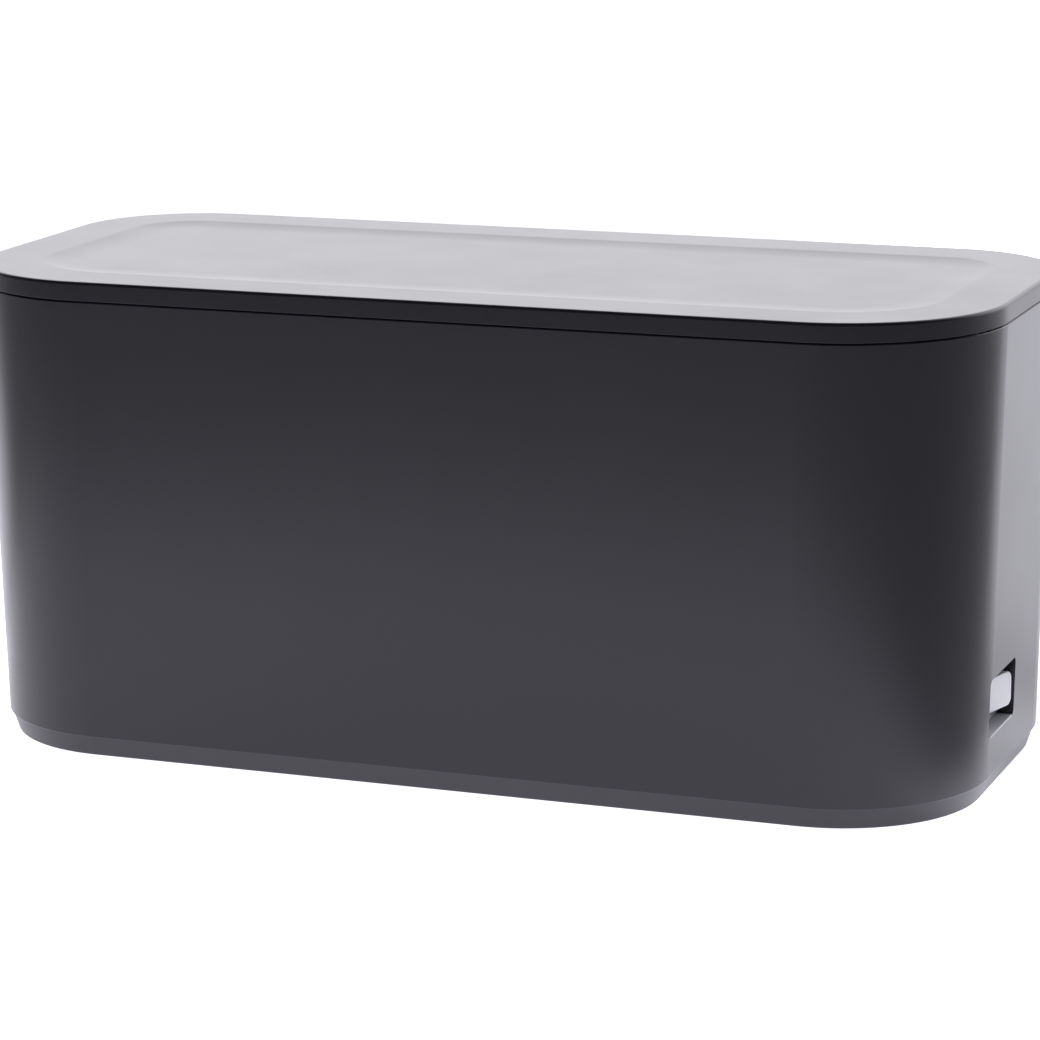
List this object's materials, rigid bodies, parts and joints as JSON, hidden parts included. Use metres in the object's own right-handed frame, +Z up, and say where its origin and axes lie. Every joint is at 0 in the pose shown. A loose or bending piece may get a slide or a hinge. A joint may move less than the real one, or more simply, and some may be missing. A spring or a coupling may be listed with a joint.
{
  "type": "cable management box",
  "caption": "Rounded dark plastic box with a lift-off tray lid that hides a socket strip; the strip's rocker switch shows in a cut-out low on the right end.",
  "frame": {"origin": "centre of the bounding box's footprint, on the plane the feet stand on", "axes": "+X along the length towards the end with the switch cut-out, -Y towards the more rounded front, +Z up"},
  "size_m": [0.32, 0.1434, 0.1477],
  "materials": {
    "shell_plastic": "satin",
    "base_plastic": "satin",
    "lid_plastic": "satin",
    "foot_rubber": "matte",
    "screw_steel": "satin",
    "strip_plastic": "satin",
    "contact_brass": "satin",
    "bezel_plastic": "satin",
    "switch_plastic": "matte",
    "rocker_plastic": "satin",
    "gland_rubber": "matte"
  },
  "bodies": {
    "box": {"base_screw_front_left": "screw_steel", "base_screw_front_right": "screw_steel", "base_screw_rear_left": "screw_steel", "base_screw_rear_right": "screw_steel", "base_tray": "base_plastic", "box_shell": "shell_plastic", "cord_gland": "gland_rubber", "cover_screw_1": "screw_steel", "cover_screw_2": "screw_steel", "cover_screw_3": "screw_steel", "cover_screw_4": "screw_steel", "earth_bar": "contact_brass", "foot_front_left": "foot_rubber", "foot_front_right": "foot_rubber", "foot_rear_left": "foot_rubber", "foot_rear_right": "foot_rubber", "live_bar": "contact_brass", "neutral_bar": "contact_brass", "strip_lower_housing": "strip_plastic", "strip_screw_left": "screw_steel", "strip_screw_right": "screw_steel", "strip_upper_housing": "strip_plastic", "switch_base": "switch_plastic", "switch_bezel": "bezel_plastic", "switch_blade_in": "contact_brass", "switch_blade_out": "contact_brass"},
    "lid": {"lid_cover": "lid_plastic"},
    "rocker": {"switch_rocker": "rocker_plastic"}
  },
  "joints": [
    {"name": "lid_lift", "type": "slide", "parent": "box", "child": "lid", "axis": [0, 0, 1], "range_m": [0, 0.12]},
    {"name": "rocker_tip", "type": "hinge", "parent": "box", "child": "rocker", "pos_m": [0.14988, -0.0088, 0.02805], "axis": [0, 0, 1], "range_deg": [0, 16]}
  ]
}
